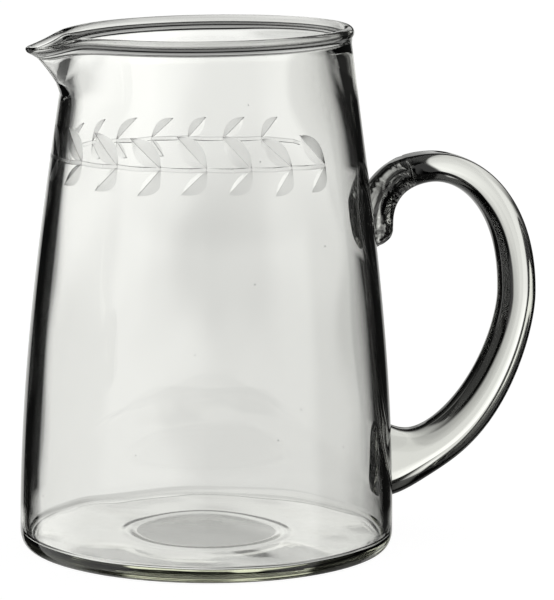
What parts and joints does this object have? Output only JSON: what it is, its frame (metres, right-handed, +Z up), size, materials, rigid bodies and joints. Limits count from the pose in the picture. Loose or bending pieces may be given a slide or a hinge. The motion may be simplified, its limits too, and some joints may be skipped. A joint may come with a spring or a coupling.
{
  "type": "glass pitcher",
  "caption": "Hand-blown clear glass pitcher with a tapered body, pulled pouring lip, heavy floor and applied loop handle, engraved with a leaf garland under the rim.",
  "frame": {"origin": "middle of the flat base, on the axis of the body", "axes": "+Z up along the body's axis, +X towards the handle, so the pouring lip points to -X"},
  "size_m": [0.1841, 0.13, 0.1809],
  "materials": {
    "body_glass": "clear polished glass with a faint grey-green tint, engraved lines matte",
    "handle_glass": "clear solid glass, fire polished"
  },
  "bodies": {
    "root": {"body": "body_glass", "handle": "handle_glass"}
  },
  "joints": []
}
